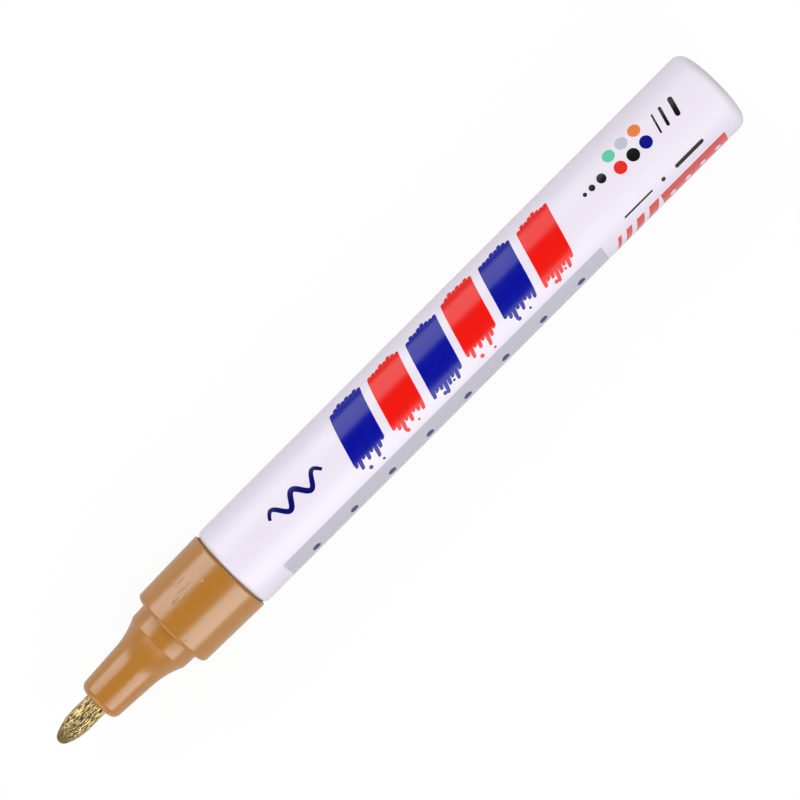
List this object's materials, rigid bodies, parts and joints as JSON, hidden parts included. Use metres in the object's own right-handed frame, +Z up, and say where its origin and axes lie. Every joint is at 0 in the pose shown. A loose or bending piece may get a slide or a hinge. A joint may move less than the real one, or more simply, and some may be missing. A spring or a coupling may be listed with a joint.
{
  "type": "paint marker",
  "caption": "Uncapped valve-action paint marker lying on its side: lacquered can, ochre moulded nose and a sprung gold fibre nib that opens an inner valve when pressed.",
  "frame": {"origin": "on the surface that the marker lies on, below the middle of its length", "axes": "+X along the marker from nib to tail, +Z up from the surface, +Y to the left seen from the nib"},
  "size_m": [0.1334, 0.014, 0.014],
  "materials": {
    "lacquered_can": "gloss",
    "ochre_moulding": "satin",
    "soft_washer": "matte",
    "paint_soaked_fibre": "satin",
    "valve_moulding": "satin",
    "plunger_moulding": "satin",
    "spring_wire": "polished",
    "ball_steel": "polished"
  },
  "bodies": {
    "marker_body": {"barrel": "lacquered_can", "nose_piece": "ochre_moulding", "joint_washer": "soft_washer", "valve_seat": "valve_moulding", "valve_cage": "valve_moulding", "valve_spring": "spring_wire"},
    "nib_body": {"nib": "paint_soaked_fibre"},
    "valve_body": {"valve_plunger": "plunger_moulding"},
    "ball_body": {"mixing_ball": "ball_steel"}
  },
  "joints": [
    {"name": "nib_press", "type": "slide", "parent": "marker_body", "child": "nib_body", "axis": [1, 0, 0], "range_m": [0, 0.002], "stiffness_N_per_m": 500},
    {"name": "valve_lift", "type": "slide", "parent": "marker_body", "child": "valve_body", "axis": [1, 0, 0], "range_m": [0, 0.002], "deforming": ["valve_spring"]},
    {"name": "ball_roll", "type": "slide", "parent": "marker_body", "child": "ball_body", "axis": [1, 0, 0], "range_m": [-0.056, 0.0177]}
  ],
  "couplings": [
    {"joint": "valve_lift", "follows": "nib_press", "ratio": 1}
  ]
}
